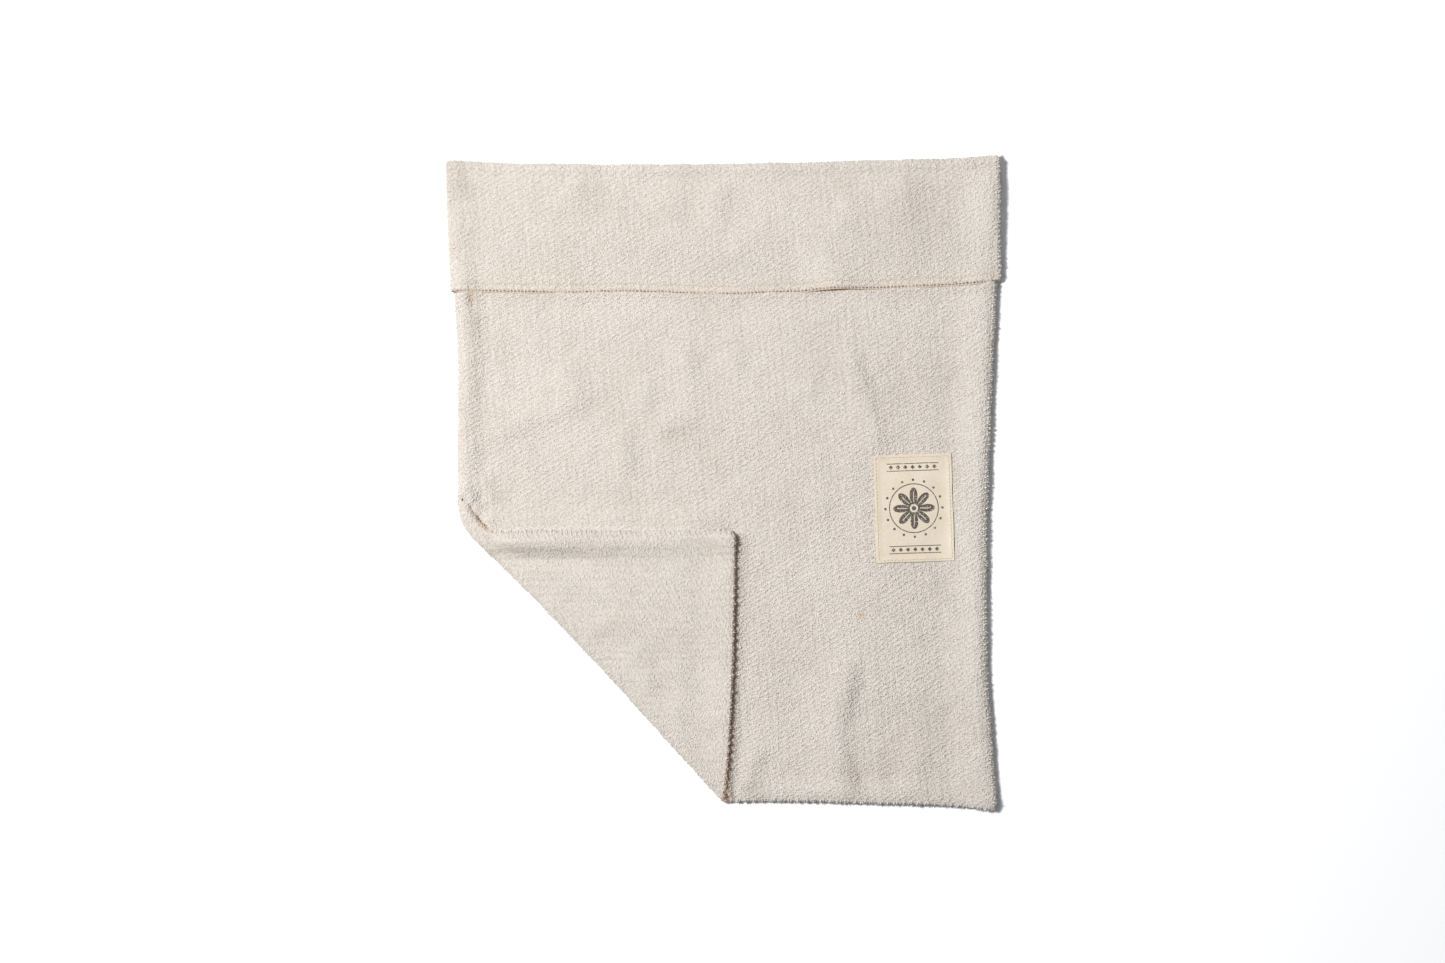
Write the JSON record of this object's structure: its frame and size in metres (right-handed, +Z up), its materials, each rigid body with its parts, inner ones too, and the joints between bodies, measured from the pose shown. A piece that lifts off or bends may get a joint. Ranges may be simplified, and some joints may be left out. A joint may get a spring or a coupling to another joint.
{
  "type": "vegetable storage bag",
  "caption": "Flat pouch of terry knit with its open mouth turned down as a deep cuff, one lower corner folded up over the front, and a small woven label sewn to the front.",
  "frame": {"origin": "middle of the folded bag's outline, on the surface that it lies on", "axes": "+X to the right across the front, +Y from the bottom seam towards the cuff, +Z up from the surface, out of the front"},
  "size_m": [0.309, 0.3648, 0.0118],
  "materials": {
    "bag_cloth": "matt natural cotton terry knit",
    "label": "matt plain woven cotton"
  },
  "bodies": {
    "root": {"bag_cloth": "bag_cloth", "label": "label"}
  },
  "joints": []
}
